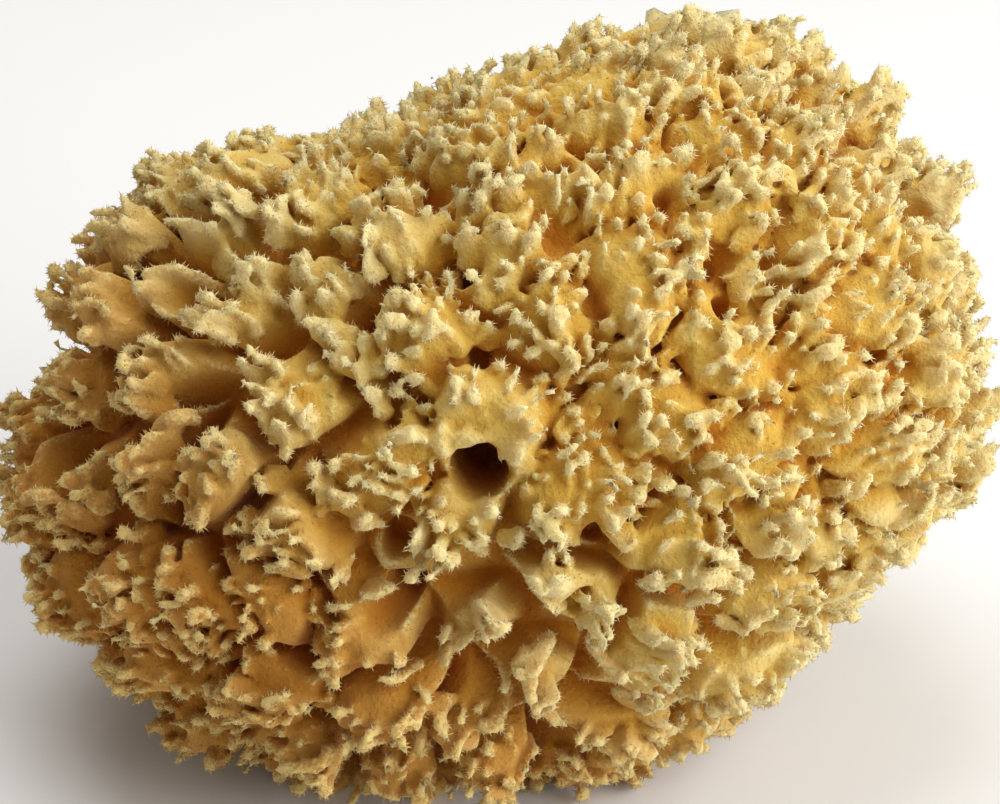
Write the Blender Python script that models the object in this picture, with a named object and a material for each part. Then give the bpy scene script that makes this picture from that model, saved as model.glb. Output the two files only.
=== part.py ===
"""A natural bath sponge, bleached yellow: one lumpy body with open channels, cut flat where it grew.

The body is drawn as it lies before the eye. Its face axes are across (to the right), up the face and
out of the face, and the face leans back by FACE_LEAN. The rest of the frame is +Z up, with the cut
base on z = 0 and the body's box centred over the origin.

Run with: blender --background --python part.py
"""

import math

import bmesh
import bpy
import numpy as np

# Outline of the tuft tips seen square to the face: its radius every 30 degrees, from the right, upwards.
OUTLINE_RADII = (
    0.0745, 0.0765, 0.0690, 0.0535, 0.0515, 0.0670,
    0.0750, 0.0755, 0.0675, 0.0595, 0.0600, 0.0640,
)
# How far the face and the back stand from the outline's plane, and how full the curve between is
# (2 is an ellipse, more is squarer).
DEPTH_FRONT = 0.0500
DEPTH_BACK = 0.0540
FULLNESS = 2.3
FACE_LEAN = math.radians(30.0)

# The lobes: clumps of tufts with valleys between them. No two centres are nearer than the spacing.
# A lobe rises by the relief over the width of its edge, and its crown is domed by a share of the relief.
LOBE_SPACING = 0.0122
LOBE_RELIEF = 0.0080
LOBE_EDGE = 0.0075
LOBE_RADIUS = 0.0083
LOBE_DOME = 0.40
LOBE_HEIGHT_SPREAD = 0.35
CANDIDATES = 6000
SEED = 7

# The bending of the valleys, so that lobes are not round: wavelengths, sizes, slant and phases of the waves.
WARP_LENGTHS = (0.034, 0.015)
WARP_SIZES = (0.0026, 0.0008)
WARP_SLANT = 0.6
WARP_PHASES = (0.4, 1.9, 3.1)

# Channel mouths seen in the face: across, up, radius and depth.
FACE_CHANNELS = {
    "main_mouth": (-0.0050, -0.0084, 0.0046, 0.026),
    "tall_mouth": (-0.0177, -0.0309, 0.0040, 0.024),
    "tall_mouth_top": (-0.0177, -0.0209, 0.0036, 0.013),
    "tall_mouth_side": (-0.0095, -0.0321, 0.0025, 0.010),
    "side_mouth": (-0.0522, 0.0182, 0.0036, 0.017),
    "cleft_mouth": (-0.0245, 0.0162, 0.0036, 0.018),
    "cleft_top": (-0.0264, 0.0257, 0.0030, 0.014),
    "ridge_mouth": (-0.0054, 0.0212, 0.0028, 0.015),
    "ridge_mouth_low": (-0.0030, 0.0092, 0.0027, 0.012),
    "left_of_ridge": (-0.0140, 0.0309, 0.0034, 0.009),
    "right_pit": (0.0318, 0.0231, 0.0035, 0.012),
    "right_pit_low": (0.0329, 0.0156, 0.0025, 0.012),
    "low_right_pit": (0.0146, -0.0213, 0.0036, 0.015),
    "low_left_pit": (-0.0455, -0.0194, 0.0031, 0.011),
    "left_pit": (-0.0192, -0.0006, 0.0030, 0.009),
    "far_left_pit": (-0.0627, -0.0021, 0.0027, 0.008),
    "upper_pit": (0.0074, 0.0369, 0.0027, 0.011),
    "upper_pit_right": (0.0134, 0.0407, 0.0023, 0.011),
    "upper_middle_pit": (0.0063, 0.0264, 0.0030, 0.008),
    "foot_pit": (0.0101, -0.0399, 0.0029, 0.012),
    "foot_pit_left": (-0.0200, -0.0411, 0.0027, 0.010),
    "lap_pit": (0.0101, -0.0299, 0.0033, 0.008),
    "right_lap_pit": (0.0258, -0.0291, 0.0028, 0.008),
    "shoulder_pit": (0.0228, 0.0324, 0.0024, 0.009),
    "middle_pit": (0.0138, 0.0174, 0.0025, 0.008),
    "far_right_pit": (0.0573, 0.0339, 0.0027, 0.008),
}
# Channel mouths on the back and the sides: their spacing and the ranges of their radius and depth.
# None lies further out than, or lower than, these shares of its direction.
HIDDEN_SPACING = 0.0290
HIDDEN_RADII = (0.0024, 0.0044)
HIDDEN_DEPTHS = (0.010, 0.022)
HIDDEN_FURTHEST_OUT = 0.15
HIDDEN_LOWEST = -0.75
# The wall of a channel spreads over this share of its radius to each side.
WALL_SOFTNESS = 0.30
# The shallow funnel round every mouth, in radii of the channel, and how much of the valleys stays in it.
FUNNEL_WIDTH = 1.9
FUNNEL_DEPTH = 0.55
CALM_SHARE = 0.40

# The flat cut at the base, this far above the lowest tuft tips.
CUT_DEPTH = 0.0105

# Fineness of the solid, and how many points are compared with the lobes at once.
SPHERE_SUBDIVISIONS = 7
TRIANGLES = 9600
POINTS_AT_ONCE = 1500

GOLDEN_ANGLE = math.pi * (3.0 - math.sqrt(5.0))
SPONGE_COLOUR = (0.62, 0.42, 0.14, 1.0)


def face_axes():
    """The across, up and outward axes of the face as rows of a matrix, in the part's frame."""
    lean_cos = math.cos(FACE_LEAN)
    lean_sin = math.sin(FACE_LEAN)
    return np.array(((1.0, 0.0, 0.0), (0.0, lean_sin, lean_cos), (0.0, -lean_cos, lean_sin)))


def smooth_step(low, high, values):
    """0 below low, 1 above high, and a smooth rise between."""
    share = np.clip((values - low) / (high - low), 0.0, 1.0)
    return share * share * (3.0 - 2.0 * share)


def outline_radius(angles):
    """The outline's radius at these angles: a smooth cubic through the radii, each with its neighbours."""
    radii = np.array(OUTLINE_RADII)
    places = (angles / (2.0 * math.pi) * len(radii)) % len(radii)
    before = np.floor(places).astype(int) % len(radii)
    share = places - np.floor(places)
    p0, p1, p2, p3 = (radii[(before + step) % len(radii)] for step in (-1, 0, 1, 2))
    bend = (2.0 * p0 - 5.0 * p1 + 4.0 * p2 - p3) * share + (3.0 * (p1 - p2) + p3 - p0) * share**2
    return p1 + 0.5 * share * (p2 - p0 + bend)


def reach(directions):
    """How far the tuft tips stand from the body's centre along unit directions in face axes."""
    across, up, out = directions.T
    flat = np.hypot(across, up)
    radius = outline_radius(np.arctan2(up, across))
    depth = np.where(out > 0.0, DEPTH_FRONT, DEPTH_BACK)
    return ((flat / radius) ** FULLNESS + (np.abs(out) / depth) ** FULLNESS) ** (-1.0 / FULLNESS)


def warped(points):
    """The points moved by two crossed sets of sine waves, which bend every valley."""
    moved = points.copy()
    for length, size in zip(WARP_LENGTHS, WARP_SIZES):
        turns = points[:, (1, 2, 0)] + WARP_SLANT * points[:, (2, 0, 1)]
        moved += size * np.sin(2.0 * math.pi * turns / length + np.array(WARP_PHASES))
    return moved


def spiral_directions(count):
    """Unit directions spread evenly by a golden spiral."""
    steps = np.arange(count)
    height = 1.0 - (2.0 * steps + 1.0) / count
    ring = np.sqrt(1.0 - height**2)
    angles = steps * GOLDEN_ANGLE
    return np.stack((ring * np.cos(angles), ring * np.sin(angles), height), axis=1)


def spaced_points(spacing, candidates, rng):
    """Points on the surface of the tuft tips, taken in random order while none is nearer than spacing."""
    directions = rng.permutation(spiral_directions(candidates))
    outer = directions * reach(directions)[:, None]
    kept = outer[:1]
    for point in outer[1:]:
        if ((kept - point) ** 2).sum(axis=1).min() >= spacing**2:
            kept = np.vstack((kept, point))
    return kept


def lobe_relief(points, rng):
    """0 in the valleys between lobes and up to 1 on their domed crowns, from the two nearest centres."""
    centres = spaced_points(LOBE_SPACING, CANDIDATES, rng)
    heights = 1.0 - LOBE_HEIGHT_SPREAD * rng.random(len(centres))
    moved = warped(points)
    relief = np.empty(len(points))
    for part in np.array_split(np.arange(len(points)), len(points) // POINTS_AT_ONCE + 1):
        away = np.linalg.norm(moved[part, None, :] - centres[None, :, :], axis=2)
        nearest = np.argpartition(away, 1, axis=1)[:, :2]
        pair = np.take_along_axis(away, nearest, axis=1)
        order = np.argsort(pair, axis=1)
        pair = np.take_along_axis(pair, order, axis=1)
        owner = np.take_along_axis(nearest, order, axis=1)[:, 0]
        bank = smooth_step(0.0, LOBE_EDGE, pair[:, 1] - pair[:, 0])
        dome = 1.0 - LOBE_DOME * np.minimum(pair[:, 0] / LOBE_RADIUS, 1.0) ** 2
        relief[part] = bank * dome * heights[owner]
    return relief


def mouth_direction(across, up):
    """The direction from the body's centre to the point of the face at this across and up."""
    flat = math.hypot(across, up)
    rim = float(outline_radius(np.array(math.atan2(up, across))))
    out = DEPTH_FRONT * (1.0 - (flat / rim) ** FULLNESS) ** (1.0 / FULLNESS)
    point = np.array((across, up, out))
    return point / np.linalg.norm(point)


def channels(rng):
    """Every channel as (direction, radius, depth): those of the face, then those round the rest."""
    found = [(mouth_direction(x, y), radius, depth) for x, y, radius, depth in FACE_CHANNELS.values()]
    for point in spaced_points(HIDDEN_SPACING, CANDIDATES, rng):
        direction = point / np.linalg.norm(point)
        if direction[2] > HIDDEN_FURTHEST_OUT or direction[1] < HIDDEN_LOWEST:
            continue
        share = rng.random()
        radius = HIDDEN_RADII[0] + share * (HIDDEN_RADII[1] - HIDDEN_RADII[0])
        depth = HIDDEN_DEPTHS[0] + share * (HIDDEN_DEPTHS[1] - HIDDEN_DEPTHS[0])
        found.append((direction, radius, depth))
    return found


def sink_channels(directions, tips, valley, rng):
    """How far the surface lies below the tuft tips, once the channels are sunk into the valleys.

    Inside a funnel the valleys fade out, so that each mouth opens in a smooth crater.
    """
    sunk = valley.copy()
    for way, radius, deepest in channels(rng):
        beside = np.linalg.norm((directions - way) * tips[:, None], axis=1) / radius
        bore = 1.0 - smooth_step(1.0 - WALL_SOFTNESS, 1.0 + WALL_SOFTNESS, beside)
        inside = 1.0 - smooth_step(1.0, FUNNEL_WIDTH, beside)
        crater = FUNNEL_DEPTH * radius + deepest * bore
        sunk += (np.maximum(crater, CALM_SHARE * sunk) - sunk) * inside
    return sunk


def sponge_points(directions):
    """The surface of the sponge along unit directions in the part's frame, and the height of its cut."""
    rng = np.random.default_rng(SEED)
    axes = face_axes()
    seen = directions @ axes.T
    tips = reach(seen)
    outer = seen * tips[:, None]
    cut_height = (directions[:, 2] * tips).min() + CUT_DEPTH
    valley = LOBE_RELIEF * (1.0 - lobe_relief(outer, rng))
    sunk = sink_channels(seen, tips, valley, rng)
    return directions * (tips - sunk)[:, None], cut_height


def collection(name):
    """A new collection of this name, linked to the scene."""
    made = bpy.data.collections.new(name)
    bpy.context.scene.collection.children.link(made)
    return made


def sponge_material():
    """The finish of the sponge: matt, golden and without shine."""
    material = bpy.data.materials.new("bleached_sponge")
    material.use_nodes = True
    shader = material.node_tree.nodes["Principled BSDF"]
    shader.inputs["Base Color"].default_value = SPONGE_COLOUR
    shader.inputs["Roughness"].default_value = 0.95
    shader.inputs["Metallic"].default_value = 0.0
    return material


def build_cutter(cutters, cut_height):
    """The block below the cut, in a collection of its own. Its top is the plane of the flat base."""
    side = 4.0 * max(OUTLINE_RADII)
    mesh = bpy.data.meshes.new("base_cutter")
    block = bmesh.new()
    bmesh.ops.create_cube(block, size=side)
    bmesh.ops.translate(block, verts=block.verts, vec=(0.0, 0.0, cut_height - side / 2.0))
    block.to_mesh(mesh)
    block.free()
    cutter = bpy.data.objects.new("base_cutter", mesh)
    cutter.hide_render = True
    cutter.display_type = "WIRE"
    cutters.objects.link(cutter)
    return cutter


def build_body(parts, cutters):
    """The body: a fine sphere drawn out to the sponge's surface, thinned and then cut flat below."""
    mesh = bpy.data.meshes.new("sponge")
    ball = bmesh.new()
    bmesh.ops.create_icosphere(ball, subdivisions=SPHERE_SUBDIVISIONS, radius=1.0)
    ball.to_mesh(mesh)
    ball.free()
    places = np.empty(len(mesh.vertices) * 3)
    mesh.vertices.foreach_get("co", places)
    directions = places.reshape(-1, 3)
    directions = directions / np.linalg.norm(directions, axis=1, keepdims=True)
    points, cut_height = sponge_points(directions)
    mesh.vertices.foreach_set("co", points.ravel())
    body = bpy.data.objects.new("sponge", mesh)
    parts.objects.link(body)
    thin = body.modifiers.new("thinned", "DECIMATE")
    thin.ratio = TRIANGLES / len(mesh.polygons)
    cut = body.modifiers.new("flat_base", "BOOLEAN")
    cut.operation = "DIFFERENCE"
    cut.object = build_cutter(cutters, cut_height)
    return body


def stand_on_origin(body):
    """Fixes the modifiers' result in the mesh, with its cut on z = 0 and its box centred on the origin."""
    bpy.context.view_layer.update()
    evaluated = body.evaluated_get(bpy.context.evaluated_depsgraph_get())
    finished = bpy.data.meshes.new_from_object(evaluated)
    body.modifiers.clear()
    body.data = finished
    places = np.empty(len(finished.vertices) * 3)
    finished.vertices.foreach_get("co", places)
    points = places.reshape(-1, 3)
    low, high = points.min(axis=0), points.max(axis=0)
    points -= ((low[0] + high[0]) / 2.0, (low[1] + high[1]) / 2.0, low[2])
    finished.vertices.foreach_set("co", points.ravel())
    finished.update()


def main():
    """Builds the sponge in an emptied scene."""
    for obj in list(bpy.data.objects):
        bpy.data.objects.remove(obj)
    parts = collection("bath_sponge")
    cutters = collection("cutters")
    body = build_body(parts, cutters)
    stand_on_origin(body)
    body.data.shade_smooth()
    body.data.materials.clear()
    body.data.materials.append(sponge_material())


main()
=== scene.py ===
"""The look of a natural bath sponge: waxy golden clumps of tufts with ragged, fibrous cream tips.

The body is a field of numbers on a grid of sample points, above 0 inside the sponge, and its surface is
drawn through the zeros. The field starts from the solid's own outline, lobes and channels, and adds the
tufts and their teeth. Three closed pieces of the face and one of the back stand for the solid, and loose
fibres grow on their crests. Lengths are in metres, +Z is up and the flat cut base lies on z = 0.
"""

import logging
import math
from dataclasses import dataclass, field, fields
from enum import Enum

import bpy
import numpy as np
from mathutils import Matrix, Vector

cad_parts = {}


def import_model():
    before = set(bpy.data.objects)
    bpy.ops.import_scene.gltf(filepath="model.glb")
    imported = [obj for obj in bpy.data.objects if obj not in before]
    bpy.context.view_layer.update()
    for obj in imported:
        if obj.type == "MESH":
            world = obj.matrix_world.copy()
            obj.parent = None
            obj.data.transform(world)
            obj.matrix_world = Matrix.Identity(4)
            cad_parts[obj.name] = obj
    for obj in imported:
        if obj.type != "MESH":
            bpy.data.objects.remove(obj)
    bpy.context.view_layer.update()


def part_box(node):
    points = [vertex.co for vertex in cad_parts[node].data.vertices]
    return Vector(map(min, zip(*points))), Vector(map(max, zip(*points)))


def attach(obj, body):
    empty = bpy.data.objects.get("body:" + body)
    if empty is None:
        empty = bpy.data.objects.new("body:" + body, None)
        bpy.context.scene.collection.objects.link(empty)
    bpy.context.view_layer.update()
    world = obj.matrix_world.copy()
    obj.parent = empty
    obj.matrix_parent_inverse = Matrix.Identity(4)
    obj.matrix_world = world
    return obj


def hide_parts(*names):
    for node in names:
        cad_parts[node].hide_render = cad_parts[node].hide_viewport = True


LOG = logging.getLogger("sponge")
NODE = "sponge"
BODY = "root"
GOLDEN_ANGLE = math.pi * (3.0 - math.sqrt(5.0))
SPLINE_SPREAD = (151.0 / 315.0) ** 1.5
GUIDES = ("crest", "tip", "pit")
BACK_PIECE = "sponge_back"
BACK_FIBRES = 16000
BLUR_CELLS = 1.5
SPARE_CELLS = 3
FIBRE_SEED = 5
SPIKE_CLEAR = 0.001

Array = np.ndarray
Colour = tuple[float, float, float]
Box = tuple[slice, slice, slice]
# A channel: its mouth's place, its radius and its depth.
Bore = tuple[Array, float, float]


class Side(Enum):
    """The two sides of the body, parted near the plane of its outline as the camera sees it."""

    FACE = "face"
    BACK = "back"


def smooth_step(low: float, high: float, values: Array) -> Array:
    """0 below low, 1 above high, and a smooth rise between.

    Args:
        low: The value where the rise starts.
        high: The value where the rise ends.
        values: The numbers to be eased.

    Returns:
        The share s of the way from low to high, eased as s * s * (3 - 2 * s).
    """
    share = np.clip((values - low) / (high - low), 0.0, 1.0)
    return share * share * (3.0 - 2.0 * share)


def spiral_directions(count: int) -> Array:
    """Unit directions spread evenly by a golden spiral.

    Args:
        count: How many directions there are.

    Returns:
        The directions, one a row.
    """
    steps = np.arange(count)
    height = 1.0 - (2.0 * steps + 1.0) / count
    ring = np.sqrt(1.0 - height**2)
    angles = steps * GOLDEN_ANGLE
    return np.stack((ring * np.cos(angles), ring * np.sin(angles), height), axis=1)


def unit(rows: Array) -> Array:
    """The same directions, one a row, each made 1 long."""
    return rows / np.linalg.norm(rows, axis=1, keepdims=True)


@dataclass(frozen=True)
class Grid:
    """Evenly spaced sample points in a box, in face axes: across, up and out from the body's centre."""

    low: tuple[float, float, float]
    high: tuple[float, float, float]
    cell: float

    @property
    def shape(self) -> tuple[int, ...]:
        """How many planes of samples lie across each axis."""
        return tuple(int((high - low) / self.cell) + 1 for low, high in zip(self.low, self.high))

    def lines(self) -> list[Array]:
        """The places of the planes along each axis."""
        return [low + self.cell * np.arange(count) for low, count in zip(self.low, self.shape)]

    def planes(self) -> list[Array]:
        """The same places, shaped so that each set spreads over the whole block."""
        return [line.astype(np.float32) for line in np.meshgrid(*self.lines(), indexing="ij", sparse=True)]

    def box_round(self, point: Array, reach: float) -> Box:
        """The part of the block that holds every sample within reach of a point, as a cube.

        Args:
            point: The cube's middle.
            reach: Half the cube's side.

        Returns:
            One slice an axis.
        """
        first = np.floor((point - reach - np.array(self.low)) / self.cell).astype(int)
        last = np.ceil((point + reach - np.array(self.low)) / self.cell).astype(int) + 1
        return tuple(slice(max(a, 0), max(b, 0)) for a, b in zip(first, last))

    def blurred(self, values: Array, spread: float) -> "tuple[Grid, Array]":
        """The block mixed with its surroundings by a bell curve, on a coarser grid.

        Cubes of samples are averaged first, as large as leaves the spread at least 1.5 of them. Then
        each sample is mixed with its neighbours as 1, 2, 1 along each axis, over and over: each pass
        adds half a cell squared to the curve's variance.

        Args:
            values: The block.
            spread: The bell curve's standard deviation.

        Returns:
            The coarser grid and its block.
        """
        factor = max(1, int(spread / self.cell / BLUR_CELLS))
        counts = [count // factor for count in self.shape]
        whole = values[tuple(slice(0, count * factor) for count in counts)]
        block = whole.reshape(counts[0], factor, counts[1], factor, counts[2], factor).mean(axis=(1, 3, 5))
        cell = self.cell * factor
        start = (cell - self.cell) / 2.0
        low = tuple(side + start for side in self.low)
        high = tuple(side + cell * (count - 0.5) for side, count in zip(low, counts))
        for _ in range(max(1, round(2.0 * (spread / cell) ** 2))):
            for axis in range(3):
                block = np.moveaxis(block, axis, 0)
                before = np.concatenate((block[:1], block[:-1]))
                after = np.concatenate((block[1:], block[-1:]))
                block = np.moveaxis(0.25 * (before + after) + 0.5 * block, 0, axis)
        return Grid(low, high, cell), block

    def sample(self, values: Array, points: Array) -> Array:
        """Reads a block at points between its samples, by straight blends along each axis.

        Args:
            values: The block.
            points: Points, one a row, in the grid's axes.

        Returns:
            One number a point.
        """
        places = (points - np.array(self.low)) / self.cell
        near = np.clip(np.floor(places).astype(int), 0, np.array(self.shape) - 2)
        share = (places - near).astype(np.float32)
        total = np.zeros(len(points), np.float32)
        for corner in np.ndindex(2, 2, 2):
            weight = np.prod(np.where(corner, share, 1.0 - share), axis=1)
            total += weight * values[tuple((near + corner).T)]
        return total


@dataclass(frozen=True)
class Noise:
    """Smooth random numbers with mean 0 and standard deviation 1, the same for every grid."""

    length: float
    seed: int
    half_side: float = 0.088

    def block(self, grid: Grid) -> Array:
        """Normal numbers on a coarse lattice over the whole body, blended by cubic B-splines.

        Args:
            grid: The sample points.

        Returns:
            One number a sample.
        """
        count = int(2.0 * self.half_side / self.length) + 4
        lattice = np.random.default_rng(self.seed).standard_normal((count,) * 3, np.float32)
        block = lattice
        for axis, line in enumerate(grid.lines()):
            places = (line + self.half_side) / self.length + 1.0
            near = np.floor(places).astype(int)
            t = (places - near).astype(np.float32)[:, None, None]
            blends = (
                (1.0 - t) ** 3,
                3.0 * t**3 - 6.0 * t**2 + 4.0,
                -3.0 * t**3 + 3.0 * t**2 + 3.0 * t + 1.0,
                t**3,
            )
            planes = np.moveaxis(block, axis, 0)
            mixed = sum(blend * planes[near + shift] for shift, blend in zip((-1, 0, 1, 2), blends))
            block = np.moveaxis(mixed, 0, axis)
        return np.ascontiguousarray(block) / np.float32(6.0**3 * SPLINE_SPREAD)


def bent(grid: Grid, bends: tuple[tuple[float, float], ...], seed: int) -> list[Array]:
    """The samples' places, moved by smooth noises so that nothing built on them is straight or round.

    Args:
        grid: The sample points.
        bends: The length and the size of each noise.
        seed: The number of the first noise.

    Returns:
        The moved places, one block an axis.
    """
    moved = []
    for axis, place in enumerate(grid.planes()):
        for number, (length, size) in enumerate(bends):
            place = place + np.float32(size) * Noise(length, seed + 10 * number + axis).block(grid)
        moved.append(place)
    return moved


@dataclass(frozen=True)
class Outline:
    """The surface of the tuft tips, drawn in face axes: across, up the face and out of the face."""

    radii: tuple[float, ...] = (
        0.0745, 0.0765, 0.0690, 0.0535, 0.0515, 0.0670,
        0.0750, 0.0755, 0.0675, 0.0595, 0.0600, 0.0640,
    )
    depth_front: float = 0.0500
    depth_back: float = 0.0540
    fullness: float = 2.3
    lean: float = math.radians(30.0)
    cut_depth: float = 0.0105

    def axes(self) -> Array:
        """The across, up and outward axes of the face as rows, in the frame's axes."""
        lean_cos, lean_sin = math.cos(self.lean), math.sin(self.lean)
        return np.array(((1.0, 0.0, 0.0), (0.0, lean_sin, lean_cos), (0.0, -lean_cos, lean_sin)))

    def radius(self, angles: Array) -> Array:
        """The outline's radius: a smooth cubic through the radii, which are evenly spread round it.

        Args:
            angles: Angles round the face, in radians from the right, upwards.

        Returns:
            The radius at each angle.
        """
        radii = np.array(self.radii, dtype=angles.dtype)
        places = (angles / (2.0 * math.pi) * len(radii)) % len(radii)
        before = np.floor(places).astype(np.int32) % len(radii)
        share = places - np.floor(places)
        p0, p1, p2, p3 = (radii[(before + step) % len(radii)] for step in (-1, 0, 1, 2))
        bend = (2.0 * p0 - 5.0 * p1 + 4.0 * p2 - p3) * share + (3.0 * (p1 - p2) + p3 - p0) * share**2
        return p1 + 0.5 * share * (p2 - p0 + bend)

    def share(self, across: Array, up: Array, out: Array) -> Array:
        """How far out points are, as a share of the way to the tips along the ray from the centre.

        It is the n-th root of (flat / radius) ** n + (out / depth) ** n, with n the fullness.

        Args:
            across: Places to the right of the centre.
            up: Places up the face.
            out: Places out of the face.

        Returns:
            The shares, 1 on the surface of the tips.
        """
        flat = np.hypot(across, up)
        total = (flat / self.radius(np.arctan2(up, across))) ** self.fullness
        depth = np.where(out > 0.0, self.depth_front, self.depth_back).astype(total.dtype)
        total = total + (np.abs(out) / depth) ** self.fullness
        return np.maximum(total, 1e-6) ** (1.0 / self.fullness)

    def spaced_points(self, spacing: float, candidates: int, rng: np.random.Generator) -> Array:
        """Points on the surface of the tips, taken in random order while none is nearer than spacing.

        Args:
            spacing: The least distance between two points.
            candidates: How many places of a golden spiral are tried.
            rng: The source of the order.

        Returns:
            The points, one a row, in face axes.
        """
        directions = rng.permutation(spiral_directions(candidates))
        outer = directions / self.share(*directions.T)[:, None]
        kept = outer[:1]
        for point in outer[1:]:
            if ((kept - point) ** 2).sum(axis=1).min() >= spacing**2:
                kept = np.vstack((kept, point))
        return kept

    def face_point(self, across: float, up: float) -> Array:
        """The point of the face's surface at a place.

        Args:
            across: The place to the right of the centre.
            up: The place up the face.

        Returns:
            The point, in face axes.
        """
        rim = float(self.radius(np.array(math.atan2(up, across))))
        share = 1.0 - (math.hypot(across, up) / rim) ** self.fullness
        return np.array((across, up, self.depth_front * share ** (1.0 / self.fullness)))

    def cut_height(self, candidates: int) -> float:
        """The height of the cut base from the body's centre: the lowest tip plus the cut's depth.

        Args:
            candidates: How many places of a golden spiral are searched for the lowest tip.

        Returns:
            The height, below 0.
        """
        directions = spiral_directions(candidates)
        tips = directions / self.share(*directions.T)[:, None]
        return float((tips @ self.axes())[:, 2].min()) + self.cut_depth


@dataclass(frozen=True)
class Lobes:
    """Clumps of tufts with valleys between them, as on the solid."""

    spacing: float = 0.0122
    edge: float = 0.0052
    radius: float = 0.0083
    dome: float = 0.40
    height_spread: float = 0.35
    candidates: int = 6000
    seed: int = 7
    reach: float = 0.0165
    warp_lengths: tuple[float, ...] = (0.034, 0.015)
    warp_sizes: tuple[float, ...] = (0.0026, 0.0008)
    warp_slant: float = 0.6
    warp_phases: tuple[float, float, float] = (0.4, 1.9, 3.1)

    def warped(self, places: list[Array]) -> list[Array]:
        """The places moved by two crossed sets of sine waves, which bend every valley.

        Along each axis a wave adds size * sin(2 pi * turns / length + phase), where turns is the place
        along the next axis plus slant times the place along the last.

        Args:
            places: The samples' places, one block an axis.

        Returns:
            The moved places.
        """
        moved = [place.copy() for place in places]
        for length, size in zip(self.warp_lengths, self.warp_sizes):
            for axis, phase in enumerate(self.warp_phases):
                turns = places[(axis + 1) % 3] + self.warp_slant * places[(axis + 2) % 3]
                moved[axis] = moved[axis] + size * np.sin(2.0 * math.pi * turns / length + phase)
        return moved

    def height(self, grid: Grid, outline: Outline, rng: np.random.Generator) -> Array:
        """How high the lobes stand: 1 on the highest crown, 0 along the valleys.

        A lobe rises with the difference between the distances to the two nearest centres, and its crown
        is domed by the square of the distance to the nearest.

        Args:
            grid: The sample points.
            outline: The surface that the centres lie on.
            rng: The source of the centres and of their heights.

        Returns:
            A block of heights.
        """
        centres = outline.spaced_points(self.spacing, self.candidates, rng)
        heights = 1.0 - self.height_spread * rng.random(len(centres))
        moved = self.warped(grid.planes())
        first = np.full(grid.shape, (2.0 * self.reach) ** 2, np.float32)
        second = first.copy()
        crown = np.ones(grid.shape, np.float32)
        for centre, height in zip(centres, heights):
            box = grid.box_round(centre, self.reach)
            near = [np.broadcast_to(place, grid.shape)[box] for place in moved]
            gap = sum((place - at) ** 2 for place, at in zip(near, centre))
            nearer = gap < first[box]
            second[box] = np.minimum(second[box], np.maximum(first[box], gap))
            first[box] = np.minimum(first[box], gap)
            crown[box] = np.where(nearer, height, crown[box])
        first, second = np.sqrt(first), np.sqrt(second)
        dome = 1.0 - self.dome * np.minimum(first / self.radius, 1.0) ** 2
        return smooth_step(0.0, self.edge, second - first) * dome * crown


@dataclass(frozen=True)
class Cones:
    """A crowd of tapered, flattened spikes: one of each list's rows a spike."""

    ends: Array
    ways: Array
    sides: Array
    lengths: Array
    root_radii: Array
    tip_radii: Array
    flatness: Array
    blend: float

    def only(self, kept: Array) -> "Cones":
        """The spikes that are kept, given as one yes or no a spike."""
        rows = (getattr(self, part.name) for part in fields(self) if part.name != "blend")
        return Cones(*(row[kept] for row in rows), self.blend)

    def join(self, grid: Grid, moved: list[Array], body: Array) -> None:
        """Adds the spikes to the body's field.

        A spike runs from its root to its end, t from 0 to 1. Its field is root radius + t * (tip radius
        - root radius), less the distance to its axis, which counts flatness times as much along its
        side. It joins what is there with a rounded fillet of the blend's size.

        Args:
            grid: The sample points.
            moved: The samples' places, bent a little so that no spike is straight.
            body: The field, which is changed in place.
        """
        rows = zip(
            self.ends.astype(np.float32),
            self.ways.astype(np.float32),
            self.sides.astype(np.float32),
            self.lengths.astype(np.float32),
            self.root_radii.astype(np.float32),
            self.tip_radii.astype(np.float32),
            (self.flatness**2 - 1.0).astype(np.float32),
        )
        blend = np.float32(self.blend)
        for end, way, side, length, wide, narrow, flat in rows:
            box = grid.box_round(end - way * length / 2.0, length / 2.0 + wide + SPIKE_CLEAR)
            if body[box].size == 0:
                continue
            parts = [place[box] - at for place, at in zip(moved, end - way * length)]
            along = sum(part * part_way for part, part_way in zip(parts, way))
            along = np.clip(along / length, 0.0, 1.0)
            parts = [part - along * (length * part_way) for part, part_way in zip(parts, way)]
            aside = sum(part * part_side for part, part_side in zip(parts, side))
            gap = np.sqrt(sum(part**2 for part in parts) + flat * aside**2)
            spike = wide + along * (narrow - wide) - gap
            here = body[box]
            fillet = np.maximum(blend - np.abs(here - spike), 0.0) ** 2 / (4.0 * blend)
            body[box] = np.maximum(here, spike) + fillet


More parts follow.
